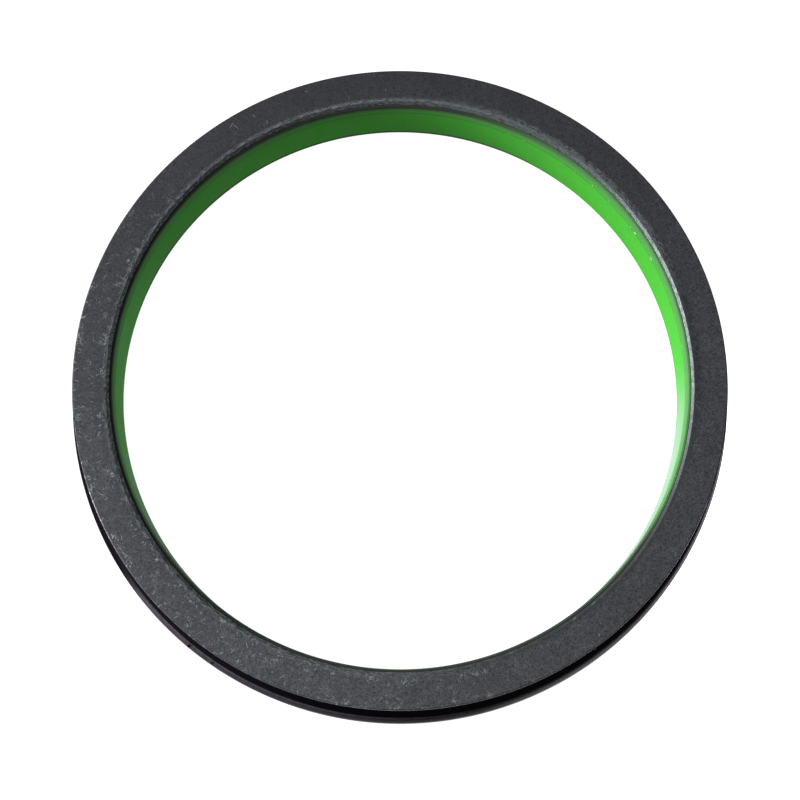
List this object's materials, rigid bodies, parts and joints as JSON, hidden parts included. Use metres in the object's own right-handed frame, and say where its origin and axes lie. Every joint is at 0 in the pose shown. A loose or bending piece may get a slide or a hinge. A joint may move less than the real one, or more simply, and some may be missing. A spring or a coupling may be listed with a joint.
{
  "type": "crankshaft oil seal",
  "caption": "Round cassette oil seal: a rubber-lined steel sleeve with a flat front flange turns inside a steel case with a black rubber lip and jacket.",
  "frame": {"origin": "centre of the seal's axis in the plane of the case's rear edge, on which the part lies", "axes": "+Z along the seal's axis from the case's rear edge to the sleeve's front flange; X and Y across the bore"},
  "size_m": [0.153, 0.153, 0.017],
  "materials": {
    "phosphated_steel": "dark grey phosphate coating, satin, lightly scuffed",
    "green_rubber": "bright green moulded rubber, smooth, soft sheen",
    "case_steel": "bare drawn steel, dull, lightly oiled",
    "black_rubber": "black moulded rubber, matt",
    "spring_steel": "drawn spring wire, bright"
  },
  "bodies": {
    "housing_side": {"outer_case": "case_steel", "seal_body": "black_rubber", "garter_spring": "spring_steel"},
    "shaft_side": {"inner_sleeve": "phosphated_steel", "bore_liner": "green_rubber"}
  },
  "joints": [
    {"name": "sleeve_turns", "type": "hinge", "parent": "housing_side", "child": "shaft_side", "pos_m": [0, 0, 0.0085], "axis": [0, 0, 1], "continuous": true}
  ]
}
